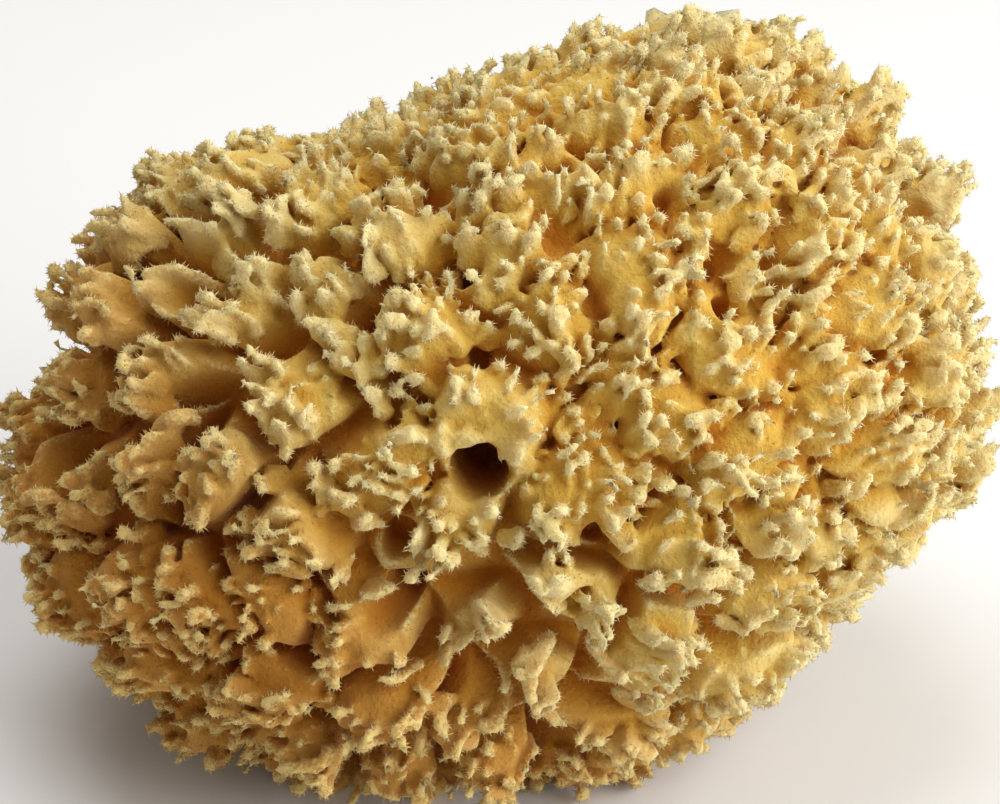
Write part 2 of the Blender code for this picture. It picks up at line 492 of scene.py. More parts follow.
@dataclass(frozen=True)
class Tufts:
    """The tufts that stand on the lobes, leaning out from each crown, and the teeth round their tips."""

    spacing: float = 0.0023
    candidates: int = 44000
    seed: int = 21
    rises: tuple[float, float] = (0.0019, 0.0030)
    rise_share: float = 0.32
    rise_from: float = 0.0040
    least_depth: float = 0.0002
    deepest: float = 0.0110
    probe_step: float = 0.0003
    clear: float = 1.20
    lengths: tuple[float, float] = (0.0036, 0.0052)
    root_radii: tuple[float, float] = (0.0014, 0.0022)
    tip_radii: tuple[float, float] = (0.0003, 0.0007)
    flatness: tuple[float, float] = (1.1, 2.1)
    petal_share: float = 0.08
    petal_root: float = 0.0027
    petal_tip: float = 0.0013
    petal_flatness: float = 2.8
    lean: float = 0.30
    lean_up: float = 0.28
    scatter: float = 0.12
    blend: float = 0.0008
    bends: tuple[tuple[float, float], ...] = ((0.0050, 0.0007), (0.0020, 0.00025))
    bend_seed: int = 200
    ragged: tuple[tuple[float, float], ...] = ((0.0022, 0.00020), (0.00105, 0.00034))
    ragged_depths: tuple[float, float] = (0.0012, 0.0036)
    ragged_share: float = 0.90
    ragged_seed: int = 41
    teeth: int = 6
    teeth_below: float = 0.0017
    teeth_lengths: tuple[float, float] = (0.0012, 0.0022)
    teeth_root: float = 0.00055
    teeth_tip: float = 0.00015
    teeth_flatness: tuple[float, float] = (1.0, 1.8)
    teeth_spread: float = 0.55
    teeth_thin: float = 0.5
    teeth_scatter: float = 0.2
    teeth_stand: float = 0.6
    teeth_blend: float = 0.0003

    def places(self, outline: Outline, bores: list[Bore]) -> Array:
        """Where the tips stand: spaced points of the outline that are clear of every channel.

        Args:
            outline: The surface that the tips reach.
            bores: The channels, whose mouths stay open.

        Returns:
            The points, one a row, which are the same for every grid.
        """
        tips = outline.spaced_points(self.spacing, self.candidates, np.random.default_rng(self.seed))
        for mouth, radius, _ in bores:
            way = mouth / np.linalg.norm(mouth)
            beside = np.linalg.norm(np.cross(tips - mouth, way), axis=1)
            tips = tips[(beside > self.clear * radius) | (tips @ way < 0.0)]
        return tips

    def grow(self, grid: Grid, outline: Outline, lobes: Lobes, bores: list[Bore], body: Array) -> Array:
        """Adds the tufts, and round the tip of each its teeth.

        A tuft's tip stands above the floor by its own rise, and more where the floor is deep, by rise
        share times how far the floor lies below the depth rise_from. A few tufts are petals, broad and
        thin. The rest are short, blunt and slightly flattened.

        Args:
            grid: The sample points.
            outline: The surface that the tips reach.
            lobes: The clumps, whose centres the tufts lean away from.
            bores: The channels, whose mouths stay open.
            body: The field.

        Returns:
            The new field.
        """
        tips = self.places(outline, bores)
        rng = np.random.default_rng(self.seed + 1)
        count = len(tips)
        centres = outline.spaced_points(lobes.spacing, lobes.candidates, np.random.default_rng(lobes.seed))
        nearest = centres[((tips[:, None, :] - centres[None, :, :]) ** 2).sum(axis=2).argmin(axis=1)]
        out = unit(tips)
        floor = self.floor_depths(grid, body, tips)
        rise = rng.uniform(*self.rises, count) + self.rise_share * np.maximum(floor - self.rise_from, 0.0)
        sunk = np.maximum(floor - rise, self.least_depth)
        lean = self.lean * (tips - nearest) / lobes.radius + self.scatter * rng.normal(0.0, 1.0, tips.shape)
        lean[:, 1] += self.lean_up
        ways = unit(out + lean)
        petal = rng.random(count) < self.petal_share
        tufts = Cones(
            ends=tips - out * sunk[:, None],
            ways=ways,
            sides=unit(np.cross(ways, rng.normal(0.0, 1.0, tips.shape))),
            lengths=rng.uniform(*self.lengths, count),
            root_radii=np.where(petal, self.petal_root, rng.uniform(*self.root_radii, count)),
            tip_radii=np.where(petal, self.petal_tip, rng.uniform(*self.tip_radii, count)),
            flatness=np.where(petal, self.petal_flatness, rng.uniform(*self.flatness, count)),
            blend=self.blend,
        )
        moved = bent(grid, self.bends, self.bend_seed)
        teeth = self.toothed(tufts, rng)
        kept = floor < self.deepest
        tufts.only(kept).join(grid, moved, body)
        teeth.only(np.repeat(kept, self.teeth)).join(grid, moved, body)
        return body

    def floor_depths(self, grid: Grid, body: Array, tips: Array) -> Array:
        """How far the floor lies below each tip: the first probe on the way in where the field is above 0.

        Args:
            grid: The sample points.
            body: The field before any tuft.
            tips: The points of the outline, one a row.

        Returns:
            One depth a tip, at most a little more than the deepest.
        """
        out = unit(tips)
        floor = np.full(len(tips), self.deepest + self.probe_step)
        for depth in np.arange(self.deepest, 0.0, -self.probe_step):
            floor = np.where(grid.sample(body, tips - depth * out) > 0.0, depth, floor)
        return floor

    def toothed(self, tufts: Cones, rng: np.random.Generator) -> Cones:
        """The teeth of every tuft: small spikes that fan out along the broad side of its tip.

        A tooth stands aside from the tuft's axis by the tip's radius times a random share along the broad
        side and teeth_thin of one along the thin side. It points along the tuft, plus teeth_spread of the
        way aside, and teeth_stand of its length lies past that place.

        Args:
            tufts: The tufts.
            rng: The source of where the teeth stand and how long they are.

        Returns:
            The teeth, as many for each tuft.
        """
        ends, ways, sides = (
            np.repeat(rows, self.teeth, axis=0) for rows in (tufts.ends, tufts.ways, tufts.sides)
        )
        widths = np.repeat(tufts.tip_radii, self.teeth)[:, None]
        count = len(ends)
        along = rng.uniform(-1.0, 1.0, (count, 1)) * np.cross(ways, sides)
        aside = along + self.teeth_thin * rng.uniform(-1.0, 1.0, (count, 1)) * sides
        below = self.teeth_below * rng.random((count, 1))
        scatter = self.teeth_scatter * rng.normal(0.0, 1.0, ends.shape)
        teeth_ways = unit(ways + self.teeth_spread * aside + scatter)
        lengths = rng.uniform(*self.teeth_lengths, count)
        stand = self.teeth_stand * lengths[:, None] * teeth_ways
        return Cones(
            ends=ends - below * ways + widths * aside + stand,
            ways=teeth_ways,
            sides=unit(np.cross(teeth_ways, rng.normal(0.0, 1.0, ends.shape))),
            lengths=lengths,
            root_radii=np.full(count, self.teeth_root),
            tip_radii=np.full(count, self.teeth_tip),
            flatness=rng.uniform(*self.teeth_flatness, count),
            blend=self.teeth_blend,
        )


@dataclass(frozen=True)
class Channels:
    """Open channels: a round bore with a shallow funnel at its mouth, across, up, radius and depth."""

    face: tuple[tuple[float, float, float, float], ...] = (
        (-0.0050, -0.0084, 0.0046, 0.026),
        (-0.0177, -0.0309, 0.0040, 0.024),
        (-0.0177, -0.0209, 0.0036, 0.013),
        (-0.0095, -0.0321, 0.0025, 0.010),
        (-0.0522, 0.0182, 0.0036, 0.017),
        (-0.0245, 0.0162, 0.0036, 0.018),
        (-0.0264, 0.0257, 0.0030, 0.014),
        (-0.0054, 0.0212, 0.0028, 0.015),
        (-0.0030, 0.0092, 0.0027, 0.012),
        (-0.0140, 0.0309, 0.0034, 0.009),
        (0.0318, 0.0231, 0.0035, 0.012),
        (0.0329, 0.0156, 0.0025, 0.012),
        (0.0146, -0.0213, 0.0036, 0.015),
        (-0.0455, -0.0194, 0.0031, 0.011),
        (-0.0192, -0.0006, 0.0030, 0.009),
        (-0.0627, -0.0021, 0.0027, 0.008),
        (0.0074, 0.0369, 0.0027, 0.011),
        (0.0134, 0.0407, 0.0023, 0.011),
        (0.0063, 0.0264, 0.0030, 0.008),
        (0.0101, -0.0399, 0.0029, 0.012),
        (-0.0200, -0.0411, 0.0027, 0.010),
        (0.0101, -0.0299, 0.0033, 0.008),
        (0.0258, -0.0291, 0.0028, 0.008),
        (0.0228, 0.0324, 0.0024, 0.009),
        (0.0138, 0.0174, 0.0025, 0.008),
        (0.0573, 0.0339, 0.0027, 0.008),
    )
    hidden_spacing: float = 0.0290
    hidden_radii: tuple[float, float] = (0.0024, 0.0044)
    hidden_depths: tuple[float, float] = (0.010, 0.022)
    hidden_furthest_out: float = 0.15
    hidden_lowest: float = -0.75
    funnel: float = 0.50
    funnel_fall: float = 0.0028
    taper: float = 0.45
    softness: float = 0.0010
    reach: float = 3.0
    bends: tuple[tuple[float, float], ...] = ((0.0060, 0.0005),)
    bend_seed: int = 300
    lip: tuple[float, float, float] = (-0.0034, -0.0032, 0.0070)
    lip_reach: float = 1.8
    lip_edge: tuple[float, float] = (0.75, 1.25)
    lip_clear: float = 0.0048
    main_clear: float = 0.0056
    lip_rim: float = 0.0012
    lip_bowl: float = 0.0022

    def bores(self, outline: Outline, candidates: int, rng: np.random.Generator) -> list[Bore]:
        """Every channel as its mouth's place, its radius and its depth.

        Args:
            outline: The surface of the tips.
            candidates: How many places are tried for the hidden ones.
            rng: The source of the hidden ones.

        Returns:
            Those of the face, then those round the rest.
        """
        found = [(outline.face_point(x, y), radius, depth) for x, y, radius, depth in self.face]
        for point in outline.spaced_points(self.hidden_spacing, candidates, rng):
            way = point / np.linalg.norm(point)
            if way[2] > self.hidden_furthest_out or way[1] < self.hidden_lowest:
                continue
            share = rng.random()
            radius = self.hidden_radii[0] + share * (self.hidden_radii[1] - self.hidden_radii[0])
            depth = self.hidden_depths[0] + share * (self.hidden_depths[1] - self.hidden_depths[0])
            found.append((point, radius, depth))
        return found

    def smooth_lip(
        self, grid: Grid, moved: list[Array], outline: Outline, below: Array, body: Array
    ) -> None:
        """Lays the smooth bowl round the main mouth into the body's field.

        The bowl's depth below the tips is rim + bowl * (1 - (beside / radius) ** 2), and it gives way to
        the lobes round its edge.

        Args:
            grid: The sample points.
            moved: The samples' places, bent a little.
            outline: The surface of the tips.
            below: How far each sample lies below the tips.
            body: The field, which is changed in place.
        """
        across, up, radius = self.lip
        middle = outline.face_point(across, up)
        box = grid.box_round(middle, self.lip_reach * radius)
        parts = [place[box] - at for place, at in zip(moved, middle)]
        way = middle / np.linalg.norm(middle)
        along = sum(part * part_way for part, part_way in zip(parts, way))
        beside = np.sqrt(np.maximum(sum(part**2 for part in parts) - along**2, 0.0)) / radius
        share = 1.0 - smooth_step(*self.lip_edge, beside)
        depth = self.lip_rim + self.lip_bowl * (1.0 - np.minimum(beside, 1.0) ** 2)
        body[box] += share * (below[box] - depth - body[box])

    def carve(self, grid: Grid, moved: list[Array], body: Array, bores: list[Bore]) -> None:
        """Cuts the channels out of the body's field.

        Beside a bore's axis the field may not pass the distance to its wall, which is radius times
        1 + funnel * exp(-depth below the mouth / fall) - taper * the share of the way down.

        Args:
            grid: The sample points.
            moved: The samples' places, bent a little so that no channel is round.
            body: The field, which is changed in place.
            bores: Every channel.
        """
        for mouth, radius, depth in bores:
            way = mouth / np.linalg.norm(mouth)
            box = grid.box_round(mouth - way * depth / 2.0, depth / 2.0 + self.reach * radius)
            parts = [place[box] - at for place, at in zip(moved, mouth)]
            along = -sum(part * part_way for part, part_way in zip(parts, way))
            beside = np.sqrt(np.maximum(sum(part**2 for part in parts) - along**2, 0.0))
            wall = radius * (1.0 + self.funnel * np.exp(-np.maximum(along, 0.0) / self.funnel_fall))
            wall = wall - self.taper * radius * np.clip(along / depth, 0.0, 1.0)
            outside = np.maximum(beside - wall, along - depth)
            gap = np.abs(body[box] - outside)
            blend = np.maximum(self.softness - gap, 0.0) ** 2 / (4.0 * self.softness)
            body[box] = np.minimum(body[box], outside) - blend


@dataclass(frozen=True)
class Section:
    """A closed piece of the body: its name and its box, in face axes."""

    name: str
    low: tuple[float, float, float]
    high: tuple[float, float, float]


@dataclass(frozen=True)
class Relief:
    """How far the surface between the tufts lies below their tips."""

    floor: float = 0.0029
    valley: float = 0.0070
    cleft: float = 0.0022
    cleft_width: float = 0.10
    patch_length: float = 0.021
    patch_share: float = 0.45
    patch_limits: tuple[float, float] = (0.5, 1.5)
    patch_seed: int = 31
    rim_share: float = 0.45
    rim_width: float = 0.014
    sway_length: float = 0.0055
    sway: float = 0.0003
    sway_seed: int = 35

    def valleys(self, grid: Grid, lobe: Array) -> Array:
        """How far the lobes sink below the tips: valley * (1 - height), and a cleft where it is near 0.

        Args:
            grid: The sample points.
            lobe: The height of the lobes.

        Returns:
            A block of depths, deeper in some patches than in others.
        """
        patch = 1.0 + self.patch_share * Noise(self.patch_length, self.patch_seed).block(grid)
        sunk = self.valley * (1.0 - lobe) * np.clip(patch, *self.patch_limits)
        return sunk + self.cleft * np.exp(-lobe / self.cleft_width)

    def between_tufts(self, grid: Grid) -> Array:
        """The depth of the floor between the tufts below the lobes' own.

        It is floor * (1 - rim share * exp(-(out / rim width) ** 2)), so that the tufts are shorter
        round the rim, and it sways with a slow noise.

        Args:
            grid: The sample points.

        Returns:
            A block of depths.
        """
        rim = np.exp(-((grid.planes()[2] / self.rim_width) ** 2))
        sway = self.sway * Noise(self.sway_length, self.sway_seed).block(grid)
        return self.floor * (1.0 - self.rim_share * rim) + sway


@dataclass
class SpongeBody:
    """The body of the sponge: its field, its surface in closed pieces, and the guides for its colour."""

    outline: Outline = field(default_factory=Outline)
    lobes: Lobes = field(default_factory=Lobes)
    relief: Relief = field(default_factory=Relief)
    tufts: Tufts = field(default_factory=Tufts)
    channels: Channels = field(default_factory=Channels)
    face_triangles: int = 95000
    back_triangles: int = 50000
    parting: float = -0.0020
    overlap: float = 0.0015
    seam_sink: float = 0.0003
    face_cell: float = 0.00045
    back_cell: float = 0.00072
    half_width: float = 0.0800
    half_height: float = 0.0800
    depth: float = 0.0600
    face_cuts: tuple[float, ...] = (-0.0240, 0.0250)
    crest_spread: float = 0.0009
    tip_spread: float = 0.0022
    pit_spread: float = 0.0050

    def sections(self, side: Side) -> list[Section]:
        """The pieces that a side is built in, from left to right.

        Args:
            side: The side of the body.

        Returns:
            Each piece's name and box, which runs past the body except at a cut.
        """
        if side is Side.BACK:
            low = (-self.half_width, -self.half_height, -self.depth)
            return [Section(BACK_PIECE, low, (self.half_width, self.half_height, self.parting))]
        edges = (-self.half_width, *self.face_cuts, self.half_width)
        return [
            Section(
                f"sponge_face_{number + 1}",
                (left, -self.half_height, self.parting),
                (right, self.half_height, self.depth),
            )
            for number, (left, right) in enumerate(zip(edges[:-1], edges[1:]))
        ]

    def grid(self, side: Side) -> Grid:
        """The sample points of one side, a little past its parting plane.

        Args:
            side: The side of the body.

        Returns:
            The sample points, closer together on the face.
        """
        low, high = [-self.half_width, -self.half_height], (self.half_width, self.half_height)
        if side is Side.FACE:
            return Grid((*low, self.parting - 2.0 * self.overlap), (*high, self.depth), self.face_cell)
        return Grid((*low, -self.depth), (*high, self.parting + 2.0 * self.overlap), self.back_cell)

    def numbers(self, grid: Grid, height: float) -> Array:
        """The body's field: the depth below the tips less the depth of the surface there.

        Args:
            grid: The sample points.
            height: The height of the cut base from the body's centre.

        Returns:
            A block of numbers, above 0 inside the sponge.
        """
        rng = np.random.default_rng(self.lobes.seed)
        planes = grid.planes()
        share = self.outline.share(*planes)
        below = np.sqrt(sum(plane**2 for plane in planes)) * (1.0 / share - 1.0)
        lobe = self.lobes.height(grid, self.outline, rng)
        bores = self.channels.bores(self.outline, self.lobes.candidates, rng)
        valleys = self.relief.valleys(grid, lobe)
        body = below - valleys - self.relief.between_tufts(grid)
        moved = bent(grid, self.channels.bends, self.channels.bend_seed)
        self.channels.smooth_lip(grid, moved, self.outline, below, body)
        self.channels.carve(grid, moved, body, bores)
        lip = (self.outline.face_point(*self.channels.lip[:2]), self.channels.lip_clear, 0.0)
        clear = [*bores, lip, (bores[0][0], self.channels.main_clear, 0.0)]
        body = self.tufts.grow(grid, self.outline, self.lobes, clear, body.astype(np.float32))
        low = below - self.tufts.ragged_share * valleys
        near_tips = (1.0 - smooth_step(*self.tufts.ragged_depths, low)).astype(np.float32)
        for number, (length, size) in enumerate(self.tufts.ragged):
            noise = Noise(length, self.tufts.ragged_seed + number)
            body += np.float32(size) * near_tips * noise.block(grid)
        up_way, out_way = self.outline.axes()[1:, 2]
        return np.minimum(body, planes[1] * up_way + planes[2] * out_way - np.float32(height))

    def build(self) -> list[bpy.types.Object]:
        """Makes the pieces of both sides and puts the colour guides on them.

        Returns:
            The pieces, those of the face first.
        """
        height = self.outline.cut_height(self.lobes.candidates)
        pieces = []
        for side in Side:
            grid = self.grid(side)
            body = self.numbers(grid, height).astype(np.float32)
            LOG.info("%s: field of %s samples", side.value, body.shape)
            filled = np.clip(body / grid.cell + 0.5, 0.0, 1.0)
            spreads = (self.crest_spread, self.tip_spread, self.pit_spread)
            guides = {name: grid.blurred(filled, spread) for name, spread in zip(GUIDES, spreads)}
            for section in self.sections(side):
                points, quads = largest_piece(*self.surface(grid, body, section))
                most = self.face_triangles if side is Side.FACE else self.back_triangles
                piece = thinned(mesh_object(section.name, points, quads), most)
                points = read_points(piece.data)
                for name, (coarse, block) in guides.items():
                    write_guide(piece.data, name, coarse.sample(block, points))
                pieces.append(piece)
        self.stand(pieces, height)
        return pieces

    def surface(self, grid: Grid, body: Array, section: Section) -> tuple[Array, Array]:
        """The surface of a section, closed by flat walls where it is cut from its neighbours.

        Args:
            grid: The sample points.
            body: The field.
            section: The piece's box.

        Returns:
            The points and the four-sided faces, in face axes.
        """
        margin = int(self.overlap / grid.cell) + SPARE_CELLS
        box = tuple(
            slice(max(int((low - start) / grid.cell) - margin, 0), int((high - start) / grid.cell) + margin)
            for low, high, start in zip(section.low, section.high, grid.low)
        )
        values = body[box].copy()
        for axis, plane in enumerate(grid.planes()):
            line = plane[tuple(box[a] if a == axis else slice(None) for a in range(3))]
            past = np.maximum(section.low[axis] - line, line - section.high[axis]).astype(np.float32)
            values = values - self.seam_sink * smooth_step(0.0, self.overlap, past)
            values = np.minimum(values, self.overlap - past)
        points, quads = surface_net(values)
        first = [start + part.start * grid.cell for start, part in zip(grid.low, box)]
        return np.array(first) + grid.cell * points, quads

    def stand(self, pieces: list[bpy.types.Object], height: float) -> None:
        """Turns the pieces from face axes into the frame and stands them where the solid is.

        Args:
            pieces: The pieces, in face axes.
            height: The height of the cut base from the body's centre.
        """
        turned = [read_points(piece.data) @ self.outline.axes() for piece in pieces]
        low, high = (np.array(corner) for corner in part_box(NODE))
        every = np.vstack(turned)
        move = (low + high) / 2.0 - (every.min(axis=0) + every.max(axis=0)) / 2.0
        move[2] = -height
        for piece, points in zip(pieces, turned):
            points += move
            points[:, 2] = np.maximum(points[:, 2], 0.0)
            piece.data.vertices.foreach_set("co", points.astype(np.float32).ravel())
            piece.data.update()


def read_points(mesh: bpy.types.Mesh) -> Array:
    """Reads where a mesh's points are.

    Args:
        mesh: The mesh.

    Returns:
        The points, one a row.
    """
    places = np.empty(len(mesh.vertices) * 3, np.float32)
    mesh.vertices.foreach_get("co", places)
    return places.reshape(-1, 3).astype(float)


def write_guide(mesh: bpy.types.Mesh, name: str, values: Array) -> None:
    """Puts one number a point on a mesh, under a guide's name."""
    mesh.attributes.new(name, "FLOAT", "POINT").data.foreach_set("value", values.astype(np.float32))


def read_guide(mesh: bpy.types.Mesh, name: str) -> Array:
    """Reads a mesh's numbers of one guide.

    Args:
        mesh: The mesh.
        name: The guide's name.

    Returns:
        One number a point.
    """
    values = np.empty(len(mesh.vertices), np.float32)
    mesh.attributes[name].data.foreach_get("value", values)
    return values


def surface_net(values: Array) -> tuple[Array, Array]:
    """The surface where a block of numbers is 0, with one point in each cell that it crosses.

    A cell's point is the mean of where the surface crosses the cell's edges. Each crossed edge gives a
    four-sided face through the four cells round it, turned so that it looks away from the numbers
    above 0.

    Args:
        values: The block, above 0 inside and not above 0 on its outermost planes.

    Returns:
        The points, one a row, counted in cells from the first sample, and the faces as four point
        numbers a row.
    """
    inside = values > 0.0
    corners = np.zeros(tuple(count - 1 for count in values.shape), np.uint8)
    for shift in np.ndindex(2, 2, 2):
        corners += inside[tuple(slice(s, count - 1 + s) for s, count in zip(shift, values.shape))]
    crossed = (corners > 0) & (corners < 8)
    total = int(crossed.sum())
    number = np.full(corners.shape, -1, np.int32)
    number[crossed] = np.arange(total, dtype=np.int32)
    sums = np.zeros((total, 3))
    counts = np.zeros(total)
    faces = []
    for axis in range(3):
        step = np.eye(3, dtype=int)[axis]
        before = tuple(slice(0, count - s) for s, count in zip(step, values.shape))
        after = tuple(slice(s, count) for s, count in zip(step, values.shape))
        edges = np.argwhere(inside[before] != inside[after])
        near = values[tuple(edges.T)]
        place = edges.astype(float)
        place[:, axis] += near / (near - values[tuple((edges + step).T)])
        ring = []
        for back_second, back_third in ((1, 1), (0, 1), (0, 0), (1, 0)):
            cell = edges.copy()
            cell[:, (axis + 1) % 3] -= back_second
            cell[:, (axis + 2) % 3] -= back_third
            found = number[tuple(cell.T)]
            ring.append(found)
            counts += np.bincount(found, minlength=total)
            for part in range(3):
                sums[:, part] += np.bincount(found, place[:, part], total)
        ring = np.stack(ring, axis=1)
        faces.append(np.where((near > 0.0)[:, None], ring, ring[:, ::-1]))
    return sums / counts[:, None], np.vstack(faces)


def largest_piece(points: Array, faces: Array) -> tuple[Array, Array]:
    """Keeps the piece with the most points, which leaves out loose crumbs and closed bubbles.

    Each point takes the lowest label that any face round it has, until no label changes.

    Args:
        points: The points, one a row.
        faces: The faces, as four point numbers a row.

    Returns:
        The kept points and faces.
    """
    label = np.arange(len(points))
    while True:
        lowest = label[faces].min(axis=1)
        lower = label.copy()
        for corner in range(faces.shape[1]):
            np.minimum.at(lower, faces[:, corner], lowest)
        lower = lower[lower]
        if np.array_equal(lower, label):
            break
        label = lower
    kept = label == np.bincount(label).argmax()
    number = np.cumsum(kept) - 1
    return points[kept], number[faces[kept[faces[:, 0]]]]


def mesh_object(name: str, points: Array, faces: Array) -> bpy.types.Object:
    """An object at the origin whose mesh has these points and faces, all with as many corners.

    Args:
        name: The object's name, and its mesh's.
        points: The points, one a row.
        faces: Point numbers, one face a row.

    Returns:
        The object, linked to the scene.
    """
    mesh = bpy.data.meshes.new(name)
    mesh.vertices.add(len(points))
    mesh.vertices.foreach_set("co", points.astype(np.float32).ravel())
    mesh.loops.add(faces.size)
    mesh.loops.foreach_set("vertex_index", faces.astype(np.int32).ravel())
    mesh.polygons.add(len(faces))
    mesh.polygons.foreach_set("loop_start", np.arange(0, faces.size, faces.shape[1], dtype=np.int32))
    mesh.update(calc_edges=True)
    made = bpy.data.objects.new(name, mesh)
    bpy.context.scene.collection.objects.link(made)
    return made


def thinned(piece: bpy.types.Object, triangles: int) -> bpy.types.Object:
    """Joins faces where the surface is smooth.

    Args:
        piece: The piece, made of four-sided faces.
        triangles: How many triangles it may have.

    Returns:
        The same piece with its new mesh.
    """
    thin = piece.modifiers.new("thinned", "DECIMATE")
    thin.ratio = min(1.0, triangles / (2.0 * len(piece.data.polygons)))
    ready = piece.evaluated_get(bpy.context.evaluated_depsgraph_get())
    mesh = bpy.data.meshes.new_from_object(ready)
    piece.modifiers.clear()
    piece.data = mesh
    mesh.name = piece.name
    mesh.shade_smooth()
    return piece


@dataclass(frozen=True)
class Fuzz:
    """Fine fibres over the skin, most on the crests, each a thin closed spike with three sides."""

    most: int = 49000
    lengths: tuple[float, float] = (0.00025, 0.00105)
    half_widths: tuple[float, float] = (0.00005, 0.00014)
    lean: float = 0.75
    crest_limit: float = 0.40
    crest_fall: float = 0.16
    everywhere: float = 0.07
    above_cut: float = 0.0003
    sink: float = 0.00015

    def build(self, name: str, piece: bpy.types.Object, seed: int) -> bpy.types.Object:
        """Grows the fibres over the faces of a piece.

        A fibre is a ring of three points, a little below the surface, and one point at its tip. It
        points along the surface's normal plus lean times a random vector, and takes over the guides of
        the skin that it stands on.

        Args:
            name: The new object's name.
            piece: What the fibres grow on, with its guides.
            seed: The number that sets every random choice.

        Returns:
            The object that holds all of them.
        """
        rng = np.random.default_rng(seed)
        mesh = piece.data
        mesh.calc_loop_triangles()
        corners = np.empty(len(mesh.loop_triangles) * 3, np.int32)
        mesh.loop_triangles.foreach_get("vertices", corners)
        corners = corners.reshape(-1, 3)
        points = read_points(mesh)
        guides = {guide: read_guide(mesh, guide)[corners].mean(axis=1) for guide in GUIDES}
        first, second, third = (points[corners[:, corner]] for corner in range(3))
        spans = np.cross(second - first, third - first)
        sizes = np.linalg.norm(spans, axis=1)
        sharp = self.everywhere + smooth_step(0.0, self.crest_fall, self.crest_limit - guides["crest"])
        sharp[np.minimum(np.minimum(first, second), third)[:, 2] < self.above_cut] = 0.0
        weight = sizes * sharp
        chosen = rng.choice(len(corners), self.most, p=weight / weight.sum())
        out = spans[chosen] / sizes[chosen, None]
        share = np.sqrt(rng.random((self.most, 1)))
        turn = rng.random((self.most, 1))
        root = (1.0 - share) * first[chosen] + share * (1.0 - turn) * second[chosen]
        root = root + share * turn * third[chosen]
        way = unit(out + self.lean * rng.normal(0.0, 1.0, out.shape))
        aside = unit(np.cross(way, rng.normal(0.0, 1.0, out.shape)))
        other = np.cross(way, aside)
        large = rng.random((self.most, 1)) ** 2
        length = self.lengths[0] + large * (self.lengths[1] - self.lengths[0])
        half = self.half_widths[0] + large * (self.half_widths[1] - self.half_widths[0])
        foot = root - self.sink * out
        ring = [
            foot + half * (math.cos(angle) * aside + math.sin(angle) * other)
            for angle in np.arange(3) * 2.0 * math.pi / 3.0
        ]
        spikes = np.stack((*ring, root + length * way), axis=1)
        spikes[:, :, 2] = np.maximum(spikes[:, :, 2], 0.0)
        pattern = np.array(((0, 2, 1), (0, 1, 3), (1, 2, 3), (2, 0, 3)))
        faces = pattern[None, :, :] + 4 * np.arange(self.most)[:, None, None]
        made = mesh_object(name, spikes.reshape(-1, 3), faces.reshape(-1, 3))
        for guide, values in guides.items():
            write_guide(made.data, guide, np.repeat(values[chosen], 4))
        made.data.shade_smooth()
        return made


